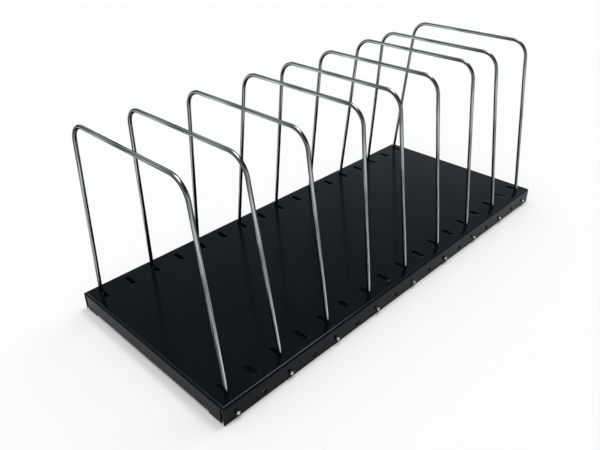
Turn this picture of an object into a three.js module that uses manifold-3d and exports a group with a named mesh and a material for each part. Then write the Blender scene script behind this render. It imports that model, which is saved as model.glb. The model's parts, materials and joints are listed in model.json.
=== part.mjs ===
// A desk rack for charts and files: a folded sheet-steel tray with two rows of slots,
// and bent-wire dividers whose feet hook out through holes in the tray's long flanges.
// Millimetres, +Z up. X runs along the rack, Y from its front to its back.
// The tray stands on z = 0 with its middle over the origin.

import * as THREE from 'three';
import { mergeVertices } from 'three/addons/utils/BufferGeometryUtils.js';
import Module from 'manifold-3d';

const wasm = await Module();
wasm.setup();

// Tray, folded from one sheet
const trayDepth = 183;
const trayHeight = 16;
const sheetThickness = 1.2;
const insideBend = 1;
const footLength = 17; // foot at each end of an end flange, from the tray's front or back face
const footHeight = 2.2; // from the table up to an end flange's lower edge between its feet
const cornerGap = 2.6; // open slit between an end flange and the long flange beside it

// Slots in the deck, and the holes below them in the front and rear flanges
const slotPitch = 25.4;
const slotCount = 17;
const endMargin = 11.1; // from the last slot's middle to the tray's end
const holeHeight = 5.2;

// Wire dividers
const wireDiameter = 3.175;
const wirePlay = 0.4; // all round a leg in its slot and a tip in its hole
const dividerRise = 154.9; // from the deck to the middle of the top bar
const legInset = 9.6; // from a flange's face to the middle of a leg, at the deck
const legSlope = THREE.MathUtils.degToRad(6.4); // a leg's lean toward the rack's middle
const topBend = 16;
const footBend = 4.5;
const tipProud = 2; // how far a tip stands out of its flange
const slotsPerDivider = 2; // a divider stands in every second slot

// How far each divider rocks toward +X, in degrees, from the left end of the rack to the right
const dividerLeans = [-0.5, -3, -1.75, 1.25, -0.75, -0.5, 1.25, -2.5, 0];
const steepestLean = 3;
const tipDrift = 0.7; // share of its play that a tip drifts at the steepest lean

// Facets
const bendFacets = 4;
const slotEndFacets = 8;
const holeFacets = 16;
const wireFacets = 12;
const topBendSteps = 7;
const footBendSteps = 5;

// Sizes that follow from those above
const trayLength = slotPitch * (slotCount - 1) + 2 * endMargin;
const outsideBend = insideBend + sheetThickness;
const foldHeight = trayHeight - outsideBend;
const wireRadius = wireDiameter / 2;
const boreRadius = wireRadius + wirePlay;
const legReach = trayDepth / 2 - legInset;
const kneeReach = legReach + (trayHeight - holeHeight) * Math.tan(legSlope);
const shoulderReach = legReach - dividerRise * Math.tan(legSlope);
const tipReach = trayDepth / 2 + tipProud;
const slotLength = tipReach - kneeReach + wireRadius + 2 * wirePlay; // a foot passes up through it
const cutMargin = 1; // how far a cutting tool runs past the sheet

const powderCoat = () => new THREE.MeshStandardMaterial({ color: 0x15191b, roughness: 0.42, metalness: 0.1 });
const silverWire = () => new THREE.MeshStandardMaterial({ color: 0x8d918f, roughness: 0.38, metalness: 0.75 });

// A closed geometry as a solid that can be cut and joined
function toSolid(geometry) {
  geometry.deleteAttribute('normal');
  geometry.deleteAttribute('uv');
  const merged = mergeVertices(geometry);
  const mesh = new wasm.Mesh({
    numProp: 3,
    vertProperties: merged.attributes.position.array,
    triVerts: Uint32Array.from(merged.index.array),
  });
  return new wasm.Manifold(mesh);
}

function toGeometry(solid) {
  const mesh = solid.getMesh();
  const shared = new THREE.BufferGeometry();
  shared.setAttribute('position', new THREE.BufferAttribute(mesh.vertProperties, mesh.numProp));
  shared.setIndex(new THREE.BufferAttribute(mesh.triVerts, 1));
  const faceted = shared.toNonIndexed();
  faceted.computeVertexNormals();
  return faceted;
}

// A block between two corners
function block(low, high) {
  const size = new THREE.Vector3().subVectors(high, low);
  const middle = new THREE.Vector3().addVectors(low, high).divideScalar(2);
  const geometry = new THREE.BoxGeometry(size.x, size.y, size.z);
  geometry.translate(middle.x, middle.y, middle.z);
  return toSolid(geometry);
}

// A hump: straight sides from a floor level, a flat top, and both top corners rounded
function hump(width, floor, height, radius) {
  const side = width / 2;
  const shape = new THREE.Shape();
  shape.moveTo(-side, floor);
  shape.lineTo(side, floor);
  shape.lineTo(side, height - radius);
  shape.absarc(side - radius, height - radius, radius, 0, Math.PI / 2);
  shape.lineTo(-side + radius, height);
  shape.absarc(-side + radius, height - radius, radius, Math.PI / 2, Math.PI);
  return shape;
}

function extrudeAlongY(shape, length) {
  const geometry = new THREE.ExtrudeGeometry(shape, {
    depth: length,
    bevelEnabled: false,
    curveSegments: bendFacets / 2,
  });
  geometry.translate(0, 0, -length / 2);
  geometry.rotateX(Math.PI / 2);
  return geometry;
}

function extrudeAlongX(shape, length) {
  return extrudeAlongY(shape, length).rotateZ(Math.PI / 2);
}

// Two humps crossed at right angles: a lid with rounded top edges that meet at mitred corners
function lid(length, depth, floor, height, radius) {
  const longWay = toSolid(extrudeAlongX(hump(depth, floor, height, radius), length));
  const shortWay = toSolid(extrudeAlongY(hump(length, floor, height, radius), depth));
  return longWay.intersect(shortWay);
}

// The strip that an end flange lacks along its lower edge, between its two feet
function endRelief(endSide) {
  const inner = endSide * (trayLength / 2 - sheetThickness - cutMargin);
  const outer = endSide * (trayLength / 2 + cutMargin);
  const reach = trayDepth / 2 - footLength;
  const low = new THREE.Vector3(Math.min(inner, outer), -reach, -cutMargin);
  const high = new THREE.Vector3(Math.max(inner, outer), reach, footHeight);
  return block(low, high);
}

// The slit at a corner: an end flange stops short of the long flange that covers its end
function cornerSlit(endSide, longSide) {
  const outerY = trayDepth / 2 - sheetThickness;
  const near = new THREE.Vector3(endSide * (trayLength / 2 + cutMargin), longSide * outerY, -cutMargin);
  const far = new THREE.Vector3(
    endSide * (trayLength / 2 - sheetThickness - cutMargin),
    longSide * (outerY - cornerGap),
    foldHeight,
  );
  return block(near.clone().min(far), near.clone().max(far));
}

// Round-ended cut through the deck, longest from front to back
function slotCut(x, longSide) {
  const outerEnd = longSide * legReach;
  const innerEnd = longSide * (legReach + 2 * boreRadius - slotLength);
  const rear = Math.max(outerEnd, innerEnd);
  const front = Math.min(outerEnd, innerEnd);
  const shape = new THREE.Shape();
  shape.absarc(x, rear, boreRadius, 0, Math.PI);
  shape.absarc(x, front, boreRadius, Math.PI, 2 * Math.PI);
  const geometry = new THREE.ExtrudeGeometry(shape, {
    depth: sheetThickness + 2 * cutMargin,
    bevelEnabled: false,
    curveSegments: slotEndFacets / 2,
  });
  geometry.translate(0, 0, trayHeight - sheetThickness - cutMargin);
  return toSolid(geometry);
}

// One drill line through the front flange and the rear flange
function holeCut(x) {
  const length = trayDepth + 2 * cutMargin;
  const geometry = new THREE.CylinderGeometry(boreRadius, boreRadius, length, holeFacets);
  geometry.translate(x, 0, holeHeight);
  return toSolid(geometry);
}

function slotPosition(index) {
  return slotPitch * (index - (slotCount - 1) / 2);
}

function baseTray() {
  const outside = lid(trayLength, trayDepth, 0, trayHeight, outsideBend);
  const inside = lid(
    trayLength - 2 * sheetThickness,
    trayDepth - 2 * sheetThickness,
    -cutMargin,
    trayHeight - sheetThickness,
    insideBend,
  );
  let tray = outside.subtract(inside);
  for (const endSide of [-1, 1]) {
    tray = tray.subtract(endRelief(endSide));
    for (const longSide of [-1, 1]) {
      tray = tray.subtract(cornerSlit(endSide, longSide));
    }
  }
  for (let index = 0; index < slotCount; index += 1) {
    const x = slotPosition(index);
    tray = tray.subtract(slotCut(x, -1)).subtract(slotCut(x, 1)).subtract(holeCut(x));
  }
  const mesh = new THREE.Mesh(toGeometry(tray), powderCoat());
  mesh.name = 'base_tray';
  return mesh;
}

// A wire's middle line, read only at its stations: both ends, and the steps of every bend
class WirePath extends THREE.Curve {
  constructor(stations) {
    super();
    this.stations = stations;
  }

  station(share) {
    return this.stations[Math.round(share * (this.stations.length - 1))];
  }

  getPointAt(share, target = new THREE.Vector3()) {
    return target.copy(this.station(share).point);
  }

  getTangentAt(share, target = new THREE.Vector3()) {
    return target.copy(this.station(share).heading);
  }
}

// Stations round one bend, from the straight that reaches its corner to the straight that leaves it
function bendStations(before, corner, after, radius, steps) {
  const arriving = new THREE.Vector3().subVectors(corner, before).normalize();
  const leaving = new THREE.Vector3().subVectors(after, corner).normalize();
  const turn = arriving.angleTo(leaving);
  const axis = new THREE.Vector3().crossVectors(arriving, leaving).normalize();
  const start = corner.clone().addScaledVector(arriving, -radius * Math.tan(turn / 2));
  const inward = new THREE.Vector3().crossVectors(axis, arriving);
  const centre = start.clone().addScaledVector(inward, radius);
  const stations = [];
  for (let step = 0; step <= steps; step += 1) {
    const angle = (turn * step) / steps;
    const arm = new THREE.Vector3().subVectors(start, centre).applyAxisAngle(axis, angle);
    stations.push({
      point: arm.add(centre),
      heading: arriving.clone().applyAxisAngle(axis, angle),
    });
  }
  return stations;
}

// Middle line of a divider about its tips: out of the front flange, up a leg, over and down again
function dividerPath() {
  const shoulderHeight = trayHeight + dividerRise - holeHeight;
  const tip = new THREE.Vector3(0, -tipReach, 0);
  const knee = new THREE.Vector3(0, -kneeReach, 0);
  const shoulder = new THREE.Vector3(0, -shoulderReach, shoulderHeight);
  const toRear = (point) => point.clone().setY(-point.y);
  const outward = new THREE.Vector3(0, 1, 0);
  return new WirePath([
    { point: tip, heading: outward },
    ...bendStations(tip, knee, shoulder, footBend, footBendSteps),
    ...bendStations(knee, shoulder, toRear(shoulder), topBend, topBendSteps),
    ...bendStations(shoulder, toRear(shoulder), toRear(knee), topBend, topBendSteps),
    ...bendStations(toRear(shoulder), toRear(knee), toRear(tip), footBend, footBendSteps),
    { point: toRear(tip), heading: outward },
  ]);
}

function wireSection() {
  const points = [];
  for (let side = 0; side < wireFacets; side += 1) {
    const angle = (2 * Math.PI * side) / wireFacets;
    points.push(new THREE.Vector2(wireRadius * Math.cos(angle), wireRadius * Math.sin(angle)));
  }
  return new THREE.Shape(points);
}

function wireDivider(number) {
  const path = dividerPath();
  const geometry = new THREE.ExtrudeGeometry(wireSection(), {
    steps: path.stations.length - 1,
    extrudePath: path,
  });
  const mesh = new THREE.Mesh(geometry, silverWire());
  mesh.name = `divider_${number}`;
  return mesh;
}

// A leaning divider bears on one side of its slots and on the other side of its holes
function standingDivider(number, slotIndex) {
  const lean = dividerLeans[(number - 1) % dividerLeans.length];
  const drift = (-wirePlay * tipDrift * lean) / steepestLean;
  const pivot = new THREE.Group();
  pivot.position.set(slotPosition(slotIndex) + drift, 0, holeHeight);
  pivot.rotation.y = THREE.MathUtils.degToRad(lean);
  pivot.add(wireDivider(number));
  return pivot;
}

const rack = new THREE.Group();
rack.add(baseTray());
for (let slotIndex = 0; slotIndex < slotCount; slotIndex += slotsPerDivider) {
  rack.add(standingDivider(slotIndex / slotsPerDivider + 1, slotIndex));
}

export default rack;
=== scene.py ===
import json
import math

import bmesh
import bpy
from mathutils import Matrix, Vector


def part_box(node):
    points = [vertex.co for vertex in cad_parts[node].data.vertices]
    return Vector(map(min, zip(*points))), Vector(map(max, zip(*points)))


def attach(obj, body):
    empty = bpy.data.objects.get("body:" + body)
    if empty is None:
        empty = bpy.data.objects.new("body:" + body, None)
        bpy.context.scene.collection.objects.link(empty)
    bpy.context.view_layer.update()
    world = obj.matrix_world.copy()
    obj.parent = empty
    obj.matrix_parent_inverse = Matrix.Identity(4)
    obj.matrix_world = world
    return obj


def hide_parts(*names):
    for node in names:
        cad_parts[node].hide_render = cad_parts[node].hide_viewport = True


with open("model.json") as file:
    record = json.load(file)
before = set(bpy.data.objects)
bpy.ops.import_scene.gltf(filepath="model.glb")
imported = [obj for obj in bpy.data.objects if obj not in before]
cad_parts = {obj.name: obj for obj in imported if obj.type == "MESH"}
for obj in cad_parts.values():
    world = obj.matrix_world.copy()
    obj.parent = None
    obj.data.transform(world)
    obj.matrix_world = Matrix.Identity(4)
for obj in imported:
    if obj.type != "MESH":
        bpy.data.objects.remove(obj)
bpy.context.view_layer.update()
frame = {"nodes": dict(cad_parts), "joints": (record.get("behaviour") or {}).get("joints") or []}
scene = bpy.context.scene
print("frame loaded:", len(frame["nodes"]), "nodes")


# small helpers

# operators leave points and faces in an order that changes from run to run
def putInOrder(bm):
    for index, vert in enumerate(sorted(bm.verts, key=lambda vert: vert.co[:])):
        vert.index = index
    bm.verts.sort()
    for index, face in enumerate(sorted(bm.faces, key=lambda face: face.calc_center_median()[:])):
        face.index = index
    bm.faces.sort()


def newObject(name, bm):
    putInOrder(bm)
    mesh = bpy.data.meshes.new(name)
    bm.to_mesh(mesh)
    bm.free()
    piece = bpy.data.objects.new(name, mesh)
    scene.collection.objects.link(piece)
    return piece


def vertsOf(result):
    return [item for item in result if isinstance(item, bmesh.types.BMVert)]


def edgesOf(result):
    return [item for item in result if isinstance(item, bmesh.types.BMEdge)]


# camera, fitted to the photograph

cameraSet = dict(
    place=(-0.37374, -0.32207, 0.32157),
    heading=45.336,   # degrees from +Y towards +X
    tilt=30.972,      # degrees below the horizon
    roll=-0.714,
    lens=36.1,
    sensor=36.0,
    clipStart=0.01,
)


def makeCamera():
    data = bpy.data.cameras.new("photoCamera")
    data.sensor_fit = "HORIZONTAL"
    data.sensor_width = cameraSet["sensor"]
    data.lens = cameraSet["lens"]
    data.clip_start = cameraSet["clipStart"]
    camera = bpy.data.objects.new("photoCamera", data)
    scene.collection.objects.link(camera)
    turn = Matrix.Rotation(-math.radians(cameraSet["heading"]), 4, "Z")
    tilt = Matrix.Rotation(math.radians(90 - cameraSet["tilt"]), 4, "X")
    roll = Matrix.Rotation(math.radians(cameraSet["roll"]), 4, "Z")
    camera.matrix_world = Matrix.Translation(cameraSet["place"]) @ turn @ tilt @ roll
    scene.camera = camera


makeCamera()
print("camera placed")


# shader node groups that both finishes share

def newGroup(name, inputs, outputs):
    group = bpy.data.node_groups.new(name, "ShaderNodeTree")
    for socketName, socketType, value in inputs:
        socket = group.interface.new_socket(socketName, in_out="INPUT", socket_type=socketType)
        if value is not None:
            socket.default_value = value
    for socketName, socketType in outputs:
        group.interface.new_socket(socketName, in_out="OUTPUT", socket_type=socketType)
    source = group.nodes.new("NodeGroupInput")
    target = group.nodes.new("NodeGroupOutput")
    return group, source, target


def mapRange(tree, fromSpan, toSpan):
    node = tree.nodes.new("ShaderNodeMapRange")
    node.inputs["From Min"].default_value, node.inputs["From Max"].default_value = fromSpan
    node.inputs["To Min"].default_value, node.inputs["To Max"].default_value = toSpan
    return node


# soft blotches between two values
mottleSet = dict(
    scale=40.0,
    detail=5.0,
    roughness=0.6,
    span=(0.32, 0.68),   # the part of the noise that is drawn out from Low to High
)


def mottleGroup():
    group, source, target = newGroup(
        "mottle",
        [
            ("Coordinate", "NodeSocketVector", None),
            ("Scale", "NodeSocketFloat", mottleSet["scale"]),
            ("Low", "NodeSocketFloat", 0.0),
            ("High", "NodeSocketFloat", 1.0),
        ],
        [("Value", "NodeSocketFloat")],
    )
    noise = group.nodes.new("ShaderNodeTexNoise")
    noise.inputs["Detail"].default_value = mottleSet["detail"]
    noise.inputs["Roughness"].default_value = mottleSet["roughness"]
    spread = mapRange(group, mottleSet["span"], (0.0, 1.0))
    group.links.new(source.outputs["Coordinate"], noise.inputs["Vector"])
    group.links.new(source.outputs["Scale"], noise.inputs["Scale"])
    group.links.new(noise.outputs["Fac"], spread.inputs["Value"])
    group.links.new(source.outputs["Low"], spread.inputs["To Min"])
    group.links.new(source.outputs["High"], spread.inputs["To Max"])
    group.links.new(spread.outputs["Result"], target.inputs["Value"])
    return group


# sparse small specks: dust on the coat, pits on the wire
speckSet = dict(
    scale=300.0,
    size=0.12,
    sparseDetail=2.0,    # of the noise that leaves most of them out
)


def speckGroup():
    group, source, target = newGroup(
        "speck",
        [
            ("Coordinate", "NodeSocketVector", None),
            ("Scale", "NodeSocketFloat", speckSet["scale"]),
            ("Size", "NodeSocketFloat", speckSet["size"]),
        ],
        [("Mask", "NodeSocketFloat")],
    )
    cells = group.nodes.new("ShaderNodeTexVoronoi")
    sparse = group.nodes.new("ShaderNodeTexNoise")
    sparse.inputs["Detail"].default_value = speckSet["sparseDetail"]
    thin = group.nodes.new("ShaderNodeMath")
    thin.operation = "MULTIPLY"
    inside = group.nodes.new("ShaderNodeMath")
    inside.operation = "LESS_THAN"
    group.links.new(source.outputs["Coordinate"], cells.inputs["Vector"])
    group.links.new(source.outputs["Scale"], cells.inputs["Scale"])
    group.links.new(source.outputs["Coordinate"], sparse.inputs["Vector"])
    group.links.new(source.outputs["Scale"], sparse.inputs["Scale"])
    group.links.new(sparse.outputs["Fac"], thin.inputs[0])
    group.links.new(source.outputs["Size"], thin.inputs[1])
    group.links.new(cells.outputs["Distance"], inside.inputs[0])
    group.links.new(thin.outputs["Value"], inside.inputs[1])
    group.links.new(inside.outputs["Value"], target.inputs["Mask"])
    return group


mottle = mottleGroup()
speck = speckGroup()


def placeGroup(tree, group, coordinate, **values):
    node = tree.nodes.new("ShaderNodeGroup")
    node.node_tree = group
    tree.links.new(coordinate, node.inputs["Coordinate"])
    for socketName, value in values.items():
        node.inputs[socketName].default_value = value
    return node


def mixColours(tree, mask, below, above):
    node = tree.nodes.new("ShaderNodeMix")
    node.data_type = "RGBA"
    tree.links.new(mask, node.inputs["Factor"])
    for socketName, colour in (("A", below), ("B", above)):
        socket = next(item for item in node.inputs if item.name == socketName and item.type == "RGBA")
        if isinstance(colour, tuple):
            socket.default_value = (*colour, 1.0)
        else:
            tree.links.new(colour, socket)
    return next(item for item in node.outputs if item.type == "RGBA")


def multiply(tree, first, second):
    node = tree.nodes.new("ShaderNodeMath")
    node.operation = "MULTIPLY"
    for index, value in enumerate((first, second)):
        if isinstance(value, float):
            node.inputs[index].default_value = value
        else:
            tree.links.new(value, node.inputs[index])
    return node.outputs["Value"]


def fineNoise(tree, coordinate, scale, detail):
    node = tree.nodes.new("ShaderNodeTexNoise")
    node.inputs["Scale"].default_value = scale
    node.inputs["Detail"].default_value = detail
    tree.links.new(coordinate, node.inputs["Vector"])
    return node.outputs["Fac"]


def readAttribute(tree, name):
    node = tree.nodes.new("ShaderNodeAttribute")
    node.attribute_name = name
    return node


def bumpFrom(tree, height, distance, before=None):
    node = tree.nodes.new("ShaderNodeBump")
    node.inputs["Distance"].default_value = distance
    tree.links.new(height, node.inputs["Height"])
    if before is not None:
        tree.links.new(before, node.inputs["Normal"])
    return node.outputs["Normal"]


# satin black powder coat

coatSet = dict(
    deep=(0.0010, 0.0030, 0.0046),
    pale=(0.0019, 0.0046, 0.0066),
    cloudScale=26.0,              # clouds of the deep and the pale tone
    wornAndHighlight=(0.018, 0.020, 0.021),   # where the coat is scuffed thin, and a painted highlight: the lighter line along the folds
    wornAndHighlightScale=210.0,
    wornAndHighlightShare=(0.15, 0.65),
    polish=1.0,                   # smooth top layer on the same places
    polishRoughness=0.18,
    dust=(0.05, 0.052, 0.052),
    dustScale=330.0,
    dustSize=0.16,
    dustShare=0.35,
    specular=0.065,
    glossScale=55.0,
    roughness=(0.12, 0.18),
    peelScale=620.0,              # the faint orange peel of a sprayed coat
    peelDetail=1.0,
    peelHeight=0.000012,
    grainScale=2600.0,
    grainDetail=2.0,
    grainHeight=0.000003,
)


def powderCoat():
    material = bpy.data.materials.new("blackPowderCoat")
    material.use_nodes = True
    tree = material.node_tree
    shader = tree.nodes["Principled BSDF"]
    shader.inputs["Specular IOR Level"].default_value = coatSet["specular"]
    shader.inputs["Coat Roughness"].default_value = coatSet["polishRoughness"]
    place = tree.nodes.new("ShaderNodeTexCoord").outputs["Object"]
    clouds = placeGroup(tree, mottle, place, Scale=coatSet["cloudScale"], Low=0.0, High=1.0)
    tone = mixColours(tree, clouds.outputs["Value"], coatSet["deep"], coatSet["pale"])
    # the coat is scuffed thin on folds and rims; the lighter colour there is also a painted highlight
    # line along the folds
    rubAndHighlight = readAttribute(tree, "rubAndHighlight").outputs["Fac"]
    low, high = coatSet["wornAndHighlightShare"]
    patches = placeGroup(tree, mottle, place, Scale=coatSet["wornAndHighlightScale"], Low=low, High=high)
    wearAndHighlight = multiply(tree, rubAndHighlight, patches.outputs["Value"])
    tone = mixColours(tree, wearAndHighlight, tone, coatSet["wornAndHighlight"])
    # use has polished the same places
    polish = multiply(tree, rubAndHighlight, coatSet["polish"])
    tree.links.new(polish, shader.inputs["Coat Weight"])
    specks = placeGroup(tree, speck, place, Scale=coatSet["dustScale"], Size=coatSet["dustSize"])
    dust = multiply(tree, specks.outputs["Mask"], coatSet["dustShare"])
    tone = mixColours(tree, dust, tone, coatSet["dust"])
    tree.links.new(tone, shader.inputs["Base Color"])
    low, high = coatSet["roughness"]
    gloss = placeGroup(tree, mottle, place, Scale=coatSet["glossScale"], Low=low, High=high)
    tree.links.new(gloss.outputs["Value"], shader.inputs["Roughness"])
    peel = fineNoise(tree, place, coatSet["peelScale"], coatSet["peelDetail"])
    grain = fineNoise(tree, place, coatSet["grainScale"], coatSet["grainDetail"])
    normal = bumpFrom(tree, grain, coatSet["grainHeight"])
    normal = bumpFrom(tree, peel, coatSet["peelHeight"], normal)
    tree.links.new(normal, shader.inputs["Normal"])
    return material


# dull silver wire, drawn through a die and then plated

wireFinishSet = dict(
    dark=(0.05, 0.0535, 0.0535),
    bright=(0.54, 0.575, 0.572),
    streakScale=800.0,          # broad light and dark lines that the die leaves along the wire
    streakStretch=0.02,         # how little they change along it
    streakShare=(-0.7, 1.4),    # past 0 and 1, so that most of a line is plainly dark or bright
    pit=(0.11, 0.118, 0.118),
    pitScale=900.0,
    pitSize=0.2,
    pitShare=0.5,
    edge=(0.10, 0.105, 0.105),  # tint of the reflection at a glancing angle
    bare=(0.60, 0.605, 0.60),   # the sheared ends, where no plating covers the steel
    glossScale=420.0,
    roughness=(0.13, 0.21),
    drawScale=2600.0,           # fine drawn lines, side by side round the wire
    drawStretch=0.012,
    drawDetail=3.0,
    drawHeight=0.000006,
)


# coordinates that run on slowly along the wire
def stretched(tree, place, share):
    node = tree.nodes.new("ShaderNodeMapping")
    node.inputs["Scale"].default_value = (1.0, 1.0, share)
    tree.links.new(place, node.inputs["Vector"])
    return node.outputs["Vector"]


def silverWire():
    material = bpy.data.materials.new("silverWire")
    material.use_nodes = True
    tree = material.node_tree
    shader = tree.nodes["Principled BSDF"]
    shader.inputs["Metallic"].default_value = 1.0
    shader.inputs["Specular Tint"].default_value = (*wireFinishSet["edge"], 1.0)
    place = readAttribute(tree, "wirePlace").outputs["Vector"]
    drawn = stretched(tree, place, wireFinishSet["streakStretch"])
    low, high = wireFinishSet["streakShare"]
    streaks = placeGroup(tree, mottle, drawn, Scale=wireFinishSet["streakScale"], Low=low, High=high)
    tone = mixColours(tree, streaks.outputs["Value"], wireFinishSet["dark"], wireFinishSet["bright"])
    pits = placeGroup(
        tree, speck, place, Scale=wireFinishSet["pitScale"], Size=wireFinishSet["pitSize"],
    )
    pitMask = multiply(tree, pits.outputs["Mask"], wireFinishSet["pitShare"])
    tone = mixColours(tree, pitMask, tone, wireFinishSet["pit"])
    sheared = readAttribute(tree, "sheared").outputs["Fac"]
    tone = mixColours(tree, sheared, tone, wireFinishSet["bare"])
    tree.links.new(tone, shader.inputs["Base Color"])
    low, high = wireFinishSet["roughness"]
    gloss = placeGroup(tree, mottle, place, Scale=wireFinishSet["glossScale"], Low=low, High=high)
    tree.links.new(gloss.outputs["Value"], shader.inputs["Roughness"])
    fine = stretched(tree, place, wireFinishSet["drawStretch"])
    lines = fineNoise(tree, fine, wireFinishSet["drawScale"], wireFinishSet["drawDetail"])
    normal = bumpFrom(tree, lines, wireFinishSet["drawHeight"])
    tree.links.new(normal, shader.inputs["Normal"])
    return material


coatFinish = powderCoat()
wireFinish = silverWire()
print("finishes ready")


# folded tray

traySet = dict(
    sheet=0.0012,
    fold=0.0022,          # outside radius of every fold
    foldSteps=10,
    slotPitch=0.0254,
    slotCount=17,
    slotOuter=0.0819,     # middle of a slot's outer round end, from the rack's middle
    slotInner=0.0731,
    bore=0.00199,         # half a slot's width, and a hole's radius
    holeHeight=0.0052,
    lip=0.0005,           # ring of faces round a slot or hole
    ringSides=24,
    footLength=0.017,     # foot at each end of an end flange, from the tray's front or back
    footHeight=0.0022,    # table to an end flange's lower edge between its feet
    cornerGap=0.0026,     # open slit between an end flange and the long flange beside it
    knee=0.0004,          # below the corner, where a long flange's end turns square
    rim=0.00018,          # rounding of the cut edges
    rimSteps=2,
    rimAngle=40.0,        # degrees; a sharper edge than this is a cut one
    faceWeight=80,        # how far the flat faces decide the shading of the bends beside them
    weld=0.000001,        # points closer than this are one
    shy=0.000001,         # keeps the tray just inside the frame's box
    rimRubAndHighlight=0.05,          # how far the coat is scuffed round an opening, which also paints a faint highlight on its rim
    rubAndHighlightAngle=0.38,        # where on a fold the scuffing and its painted highlight line are strongest, in radians from the deck
    frontRubAndHighlight=1.0,         # the front fold, with the strongest painted highlight line and scuffing
    quietRubAndHighlight=0.4,         # the other folds, with a fainter painted highlight line and scuffing
)


def trayFigures():
    low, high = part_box("base_tray")
    figures = dict(traySet)
    figures["halfLength"] = (high.x - low.x) / 2 - traySet["shy"]
    figures["halfDepth"] = (high.y - low.y) / 2 - traySet["shy"]
    figures["deck"] = high.z
    figures["foldLine"] = high.z - traySet["fold"]
    return figures


def slotPlaces(figures):
    middle = (figures["slotCount"] - 1) / 2
    return [(index - middle) * figures["slotPitch"] for index in range(figures["slotCount"])]


# a ring of edges: a circle, pulled out into a slot where reach is given
def ring(bm, sides, place, radius, reach):
    half = Matrix.Rotation(math.pi / sides, 4, "Z")
    made = bmesh.ops.create_circle(bm, cap_ends=False, segments=sides, radius=radius, matrix=half)
    verts = made["verts"]
    for vert in verts:
        vert.co.y += math.copysign(reach, vert.co.y)
    bmesh.ops.transform(bm, matrix=place, verts=verts)
    return list({edge for vert in verts for edge in vert.link_edges})


# an opening's two rings: the outer one joins the sheet, the inner one is the cut edge
def opening(bm, rubAndHighlight, figures, place, reach=0.0):
    sides = figures["ringSides"]
    outer = ring(bm, sides, place, figures["bore"] + figures["lip"], reach)
    inner = ring(bm, sides, place, figures["bore"], reach)
    # the cut edge gets faint scuffing, which also paints a faint highlight
    for edge in inner:
        for vert in edge.verts:
            vert[rubAndHighlight] = figures["rimRubAndHighlight"]
    bmesh.ops.bridge_loops(bm, edges=outer + inner)
    return outer


def deckSheet(bm, rubAndHighlight, figures):
    x = figures["halfLength"] - figures["fold"]
    y = figures["halfDepth"] - figures["fold"]
    turns = ((-1, -1), (1, -1), (1, 1), (-1, 1))
    corners = [bm.verts.new((sx * x, sy * y, figures["deck"])) for sx, sy in turns]
    border = [bm.edges.new((corners[i], corners[(i + 1) % 4])) for i in range(4)]
    slotMiddle = (figures["slotOuter"] + figures["slotInner"]) / 2
    reach = (figures["slotOuter"] - figures["slotInner"]) / 2
    rims = []
    for slotX in slotPlaces(figures):
        for side in (-1, 1):
            place = Matrix.Translation((slotX, side * slotMiddle, figures["deck"]))
            rims += opening(bm, rubAndHighlight, figures, place, reach)
    bmesh.ops.triangle_fill(bm, use_beauty=True, edges=border + rims, normal=(0, 0, 1))
    return border


# rolls one border of the deck over into a fold, with mitred ends, and gives its lower edge
def rollFold(bm, rubAndHighlight, figures, edge, axis, angle, rubAndHighlightWeight):
    fold = figures["fold"]
    across = 1 if axis[0] else 0      # the coordinate that grows as the fold rolls outward
    start = (figures["halfLength"], figures["halfDepth"])[across] - fold
    centre = (edge.verts[0].co + edge.verts[1].co) / 2 - Vector((0, 0, fold))
    flat = set(bm.verts)
    spun = bmesh.ops.spin(
        bm, geom=[edge, *edge.verts], cent=centre, axis=axis, dvec=(0, 0, 0),
        angle=angle, steps=figures["foldSteps"], use_merge=False, use_duplicate=False,
    )
    for vert in bm.verts:
        if vert in flat:
            continue
        outward = abs(vert.co[across]) - start
        vert.co[1 - across] += math.copysign(outward, vert.co[1 - across])
        turned = math.acos(1 - (figures["deck"] - vert.co.z) / fold)
        # scuffing plus a painted highlight line, strongest at the given angle round the fold
        vert[rubAndHighlight] = rubAndHighlightWeight * max(0.0, 1 - (turned / figures["rubAndHighlightAngle"] - 1) ** 2)
    return edgesOf(spun["geom_last"])[0]


# cuts an edge at one distance from both its ends, and gives the three lengths in order
def cutEnds(edge, distance):
    first, last = edge.verts
    length = (last.co - first.co).length
    head, inner = bmesh.utils.edge_split(edge, first, distance / length)
    rest = next(item for item in inner.link_edges if last in item.verts)
    tail, outer = bmesh.utils.edge_split(rest, last, distance / (length - distance))
    middle = next(item for item in inner.link_edges if outer in item.verts)
    return head, middle, tail


def pullDown(bm, edges, distance):
    grown = bmesh.ops.extrude_edge_only(bm, edges=edges)["geom"]
    verts = vertsOf(grown)
    bmesh.ops.translate(bm, verts=verts, vec=(0, 0, -distance))
    return [edge for edge in edgesOf(grown) if set(edge.verts) <= set(verts)]


# flange along the front or the back, from corner to corner, with its row of holes
def longFlange(bm, rubAndHighlight, figures, top, side):
    y = side * figures["halfDepth"]
    border = [top]
    feet = []
    for corner in top.verts:
        knee = bm.verts.new(corner.co - Vector((0, 0, figures["knee"])))
        foot = bm.verts.new((corner.co.x, y, figures["shy"]))
        border.append(bm.edges.new((corner, knee)))
        border.append(bm.edges.new((knee, foot)))
        feet.append(foot)
    border.append(bm.edges.new(feet))
    upright = Matrix.Rotation(math.pi / 2, 4, "X")
    rims = []
    for slotX in slotPlaces(figures):
        place = Matrix.Translation((slotX, y, figures["holeHeight"])) @ upright
        rims += opening(bm, rubAndHighlight, figures, place)
    bmesh.ops.triangle_fill(bm, use_beauty=True, edges=border + rims, normal=(0, side, 0))


# flange at one end, cut clear of both corners, that stands on a foot at each side
def endFlange(bm, figures, top):
    clear = figures["sheet"] + figures["cornerGap"]
    panelTop = cutEnds(top, clear)[1]
    lower = pullDown(bm, [panelTop], figures["foldLine"] - figures["footHeight"])[0]
    feet = cutEnds(lower, figures["footLength"] - clear)[::2]
    pullDown(bm, feet, figures["footHeight"] - figures["shy"])


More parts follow.
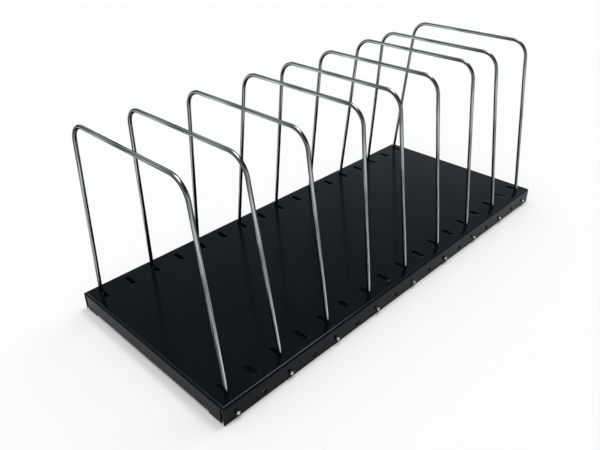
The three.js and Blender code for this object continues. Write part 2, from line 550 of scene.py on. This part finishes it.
def makeTray():
    figures = trayFigures()
    bm = bmesh.new()
    # mask of scuffed coat and painted highlight lines on the folds and rims
    rubAndHighlight = bm.verts.layers.float.new("rubAndHighlight")
    front, right, rear, left = deckSheet(bm, rubAndHighlight, figures)
    quarter = math.pi / 2
    quiet = figures["quietRubAndHighlight"]
    lowerFront = rollFold(bm, rubAndHighlight, figures, front, (1, 0, 0), quarter, figures["frontRubAndHighlight"])
    lowerRear = rollFold(bm, rubAndHighlight, figures, rear, (1, 0, 0), -quarter, quiet)
    lowerRight = rollFold(bm, rubAndHighlight, figures, right, (0, 1, 0), quarter, quiet)
    lowerLeft = rollFold(bm, rubAndHighlight, figures, left, (0, 1, 0), -quarter, quiet)
    longFlange(bm, rubAndHighlight, figures, lowerFront, -1)
    longFlange(bm, rubAndHighlight, figures, lowerRear, 1)
    endFlange(bm, figures, lowerRight)
    endFlange(bm, figures, lowerLeft)
    bmesh.ops.remove_doubles(bm, verts=bm.verts[:], dist=figures["weld"])
    bmesh.ops.recalc_face_normals(bm, faces=bm.faces[:])
    deckFace = max(bm.faces, key=lambda face: face.calc_center_median().z)
    if deckFace.normal.z < 0:
        bmesh.ops.reverse_faces(bm, faces=bm.faces[:])
    for face in bm.faces:
        face.smooth = True
    tray = newObject("trayBody", bm)
    wall = tray.modifiers.new("sheetThickness", "SOLIDIFY")
    wall.thickness = figures["sheet"]
    wall.offset = -1.0
    wall.use_even_offset = True
    soft = tray.modifiers.new("softCuts", "BEVEL")
    soft.width = figures["rim"]
    soft.segments = figures["rimSteps"]
    soft.limit_method = "ANGLE"
    soft.angle_limit = math.radians(figures["rimAngle"])
    soft.harden_normals = False
    flat = tray.modifiers.new("flatSheen", "WEIGHTED_NORMAL")
    flat.weight = figures["faceWeight"]
    flat.keep_sharp = True
    tray.data.materials.append(coatFinish)
    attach(tray, "tray")
    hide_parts("base_tray")


makeTray()
print("tray folded")


# wire dividers, bent the way a wire bender feeds and turns them

wireSet = dict(
    radius=0.001587,
    sides=28,
    tipShy=0.000002,      # keeps the tips just inside the frame's box
    legReach=0.0819,      # middle of a leg at the deck, from the rack's middle
    legSlope=6.4,         # degrees toward the middle
    rise=0.1549,          # deck to the middle of the top bar
    footBend=0.0045,
    footSteps=10,
    topBend=0.016,
    topSteps=18,
    tipRound=0.00035,
    tipSteps=3,
)


# feeds and bends of one wire, from its front tip to its rear tip
def bendingPlan(tipReach, hingeHeight, deckHeight):
    slope = math.radians(wireSet["legSlope"])
    turn = math.pi / 2 - slope
    kneeReach = wireSet["legReach"] + (deckHeight - hingeHeight) * math.tan(slope)
    legLength = (deckHeight - hingeHeight + wireSet["rise"]) / math.cos(slope)
    shoulderReach = wireSet["legReach"] - wireSet["rise"] * math.tan(slope)
    footCut = wireSet["footBend"] * math.tan(turn / 2)
    topCut = wireSet["topBend"] * math.tan(turn / 2)
    foot = (tipReach - kneeReach - footCut, wireSet["footBend"], turn, wireSet["footSteps"])
    leg = (legLength - footCut - topCut, wireSet["topBend"], -turn, wireSet["topSteps"])
    bar = (2 * (shoulderReach - topCut), wireSet["topBend"], -turn, wireSet["topSteps"])
    down = (legLength - footCut - topCut, wireSet["footBend"], turn, wireSet["footSteps"])
    out = (tipReach - kneeReach - footCut, 0.0, 0.0, 0)
    return [foot, leg, bar, down, out]


# pushes the open end of the wire on by one ring
def feedRing(bm, wirePlace, edges, move, along):
    grown = bmesh.ops.extrude_edge_only(bm, edges=edges)["geom"]
    verts = vertsOf(grown)
    bmesh.ops.transform(bm, matrix=move, verts=verts)
    for vert in verts:
        vert[wirePlace].z = along
    fresh = set(verts)
    return [edge for edge in edgesOf(grown) if set(edge.verts) <= fresh]


def bendWire(bm, tipReach, hingeHeight, deckHeight):
    wirePlace = bm.verts.layers.float_vector.new("wirePlace")
    facing = Matrix.Translation((0, -tipReach, 0)) @ Matrix.Rotation(math.pi / 2, 4, "X")
    made = bmesh.ops.create_circle(
        bm, cap_ends=True, segments=wireSet["sides"], radius=wireSet["radius"], matrix=facing,
    )
    for vert in made["verts"]:
        vert[wirePlace] = (vert.co.x, vert.co.z, 0.0)
    edges = bm.edges[:]
    place = Vector((0, -tipReach, 0))
    heading = Vector((0, 1, 0))
    along = 0.0
    for feed, radius, turn, steps in bendingPlan(tipReach, hingeHeight, deckHeight):
        along += feed
        place += heading * feed
        edges = feedRing(bm, wirePlace, edges, Matrix.Translation(heading * feed), along)
        if not steps:
            continue
        axis = Vector((math.copysign(1.0, turn), 0, 0))
        centre = place + axis.cross(heading) * radius
        step = Matrix.Rotation(abs(turn) / steps, 4, axis)
        swing = Matrix.Translation(centre) @ step @ Matrix.Translation(-centre)
        for _ in range(steps):
            along += radius * abs(turn) / steps
            edges = feedRing(bm, wirePlace, edges, swing, along)
            place = swing @ place
            heading = step.to_3x3() @ heading
    bmesh.ops.contextual_create(bm, geom=edges)
    caps = [face for face in bm.faces if len(face.verts) > 4]
    rims = [edge for face in caps for edge in face.edges]
    bmesh.ops.bevel(
        bm, geom=rims, offset=wireSet["tipRound"], offset_type="OFFSET",
        segments=wireSet["tipSteps"], profile=0.5, affect="EDGES", material=-1,
    )
    sheared = bm.verts.layers.float.new("sheared")
    for face in bm.faces:
        face.smooth = len(face.verts) == 4
        for vert in face.verts:
            vert[sheared] = max(vert[sheared], float(not face.smooth))
    bmesh.ops.recalc_face_normals(bm, faces=bm.faces[:])


# how far the divider's top stands to one side of its hinge, as the frame has it
def leanOf(node, hinge):
    low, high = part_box(node)
    leftShift = low.x + wireSet["radius"] - hinge.x
    rightShift = high.x - wireSet["radius"] - hinge.x
    shift = leftShift if abs(leftShift) > abs(rightShift) else rightShift
    return math.atan2(shift, high.z - wireSet["radius"] - hinge.z)


def makeDividers():
    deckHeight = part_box("base_tray")[1].z
    for joint in frame["joints"]:
        body = joint["child"]
        hinge = Vector(joint["pos_m"])
        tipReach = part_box(body)[1].y - wireSet["tipShy"]
        bm = bmesh.new()
        bendWire(bm, tipReach, hinge.z, deckHeight)
        lean = Matrix.Rotation(leanOf(body, hinge), 4, "Y")
        bmesh.ops.transform(bm, matrix=Matrix.Translation(hinge) @ lean, verts=bm.verts[:])
        wire = newObject(body.replace("divider_", "wire"), bm)
        wire.data.materials.append(wireFinish)
        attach(wire, body)
        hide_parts(body)


makeDividers()


# floor and light

stageSet = dict(
    floorSize=60.0,
    floorColour=(0.90, 0.90, 0.895),
    floorRoughness=0.9,
    floorSpecular=0.1,
    skyColour=(0.92, 1.0, 1.0),
    wall=0.10,                    # light from the studio's dim walls
    horizon=0.98,                 # light from the pale band low on them
    horizonTop=(0.10, 0.46),      # heights between which the band fades
    glow=0.45,                    # soft light behind the rack
    glowAim=(0.45, 0.68, 0.58),
    glowEdge=(0.40, 0.90),        # from its outer edge to where it is full
)


def makeFloor():
    bm = bmesh.new()
    bmesh.ops.create_grid(bm, x_segments=2, y_segments=2, size=stageSet["floorSize"] / 2)
    floor = newObject("floor", bm)
    material = bpy.data.materials.new("paleFloor")
    material.use_nodes = True
    tree = material.node_tree
    shader = tree.nodes["Principled BSDF"]
    shader.inputs["Base Color"].default_value = (*stageSet["floorColour"], 1.0)
    shader.inputs["Roughness"].default_value = stageSet["floorRoughness"]
    shader.inputs["Specular IOR Level"].default_value = stageSet["floorSpecular"]
    floor.data.materials.append(material)


def makeSky():
    world = bpy.data.worlds.new("studio")
    scene.world = world
    world.use_nodes = True
    tree = world.node_tree
    sky = tree.nodes["Background"]
    place = tree.nodes.new("ShaderNodeTexCoord")
    parts = tree.nodes.new("ShaderNodeSeparateXYZ")
    tree.links.new(place.outputs["Generated"], parts.inputs["Vector"])
    band = mapRange(tree, stageSet["horizonTop"], (stageSet["horizon"], stageSet["wall"]))
    tree.links.new(parts.outputs["Z"], band.inputs["Value"])
    facing = tree.nodes.new("ShaderNodeVectorMath")
    facing.operation = "DOT_PRODUCT"
    facing.inputs[1].default_value = Vector(stageSet["glowAim"]).normalized()
    tree.links.new(place.outputs["Generated"], facing.inputs[0])
    panel = mapRange(tree, stageSet["glowEdge"], (0.0, stageSet["glow"]))
    panel.interpolation_type = "SMOOTHSTEP"
    tree.links.new(facing.outputs["Value"], panel.inputs["Value"])
    total = tree.nodes.new("ShaderNodeMath")
    total.operation = "ADD"
    tree.links.new(band.outputs["Result"], total.inputs[0])
    tree.links.new(panel.outputs["Result"], total.inputs[1])
    sky.inputs["Color"].default_value = (*stageSet["skyColour"], 1.0)
    tree.links.new(total.outputs["Value"], sky.inputs["Strength"])


# soft light from above; the weaker lamp draws the line along the front fold
lampSet = dict(
    overheadLamp=dict(fromSide=(-0.18, 0.0, 0.98), spread=42.0, strength=1.66),
    edgeLamp=dict(fromSide=(0.43, 0.0, 0.90), spread=22.0, strength=0.9),
)


def makeLamp(name, fromSide, spread, strength):
    lamp = bpy.data.objects.new(name, bpy.data.lights.new(name, "SUN"))
    lamp.data.energy = strength
    lamp.data.angle = math.radians(spread)
    lamp.rotation_euler = Vector(fromSide).to_track_quat("Z", "Y").to_euler()
    scene.collection.objects.link(lamp)


makeFloor()
makeSky()
for lampName, lampFigures in lampSet.items():
    makeLamp(lampName, **lampFigures)
scene.view_settings.view_transform = "Standard"
print("stage lit")
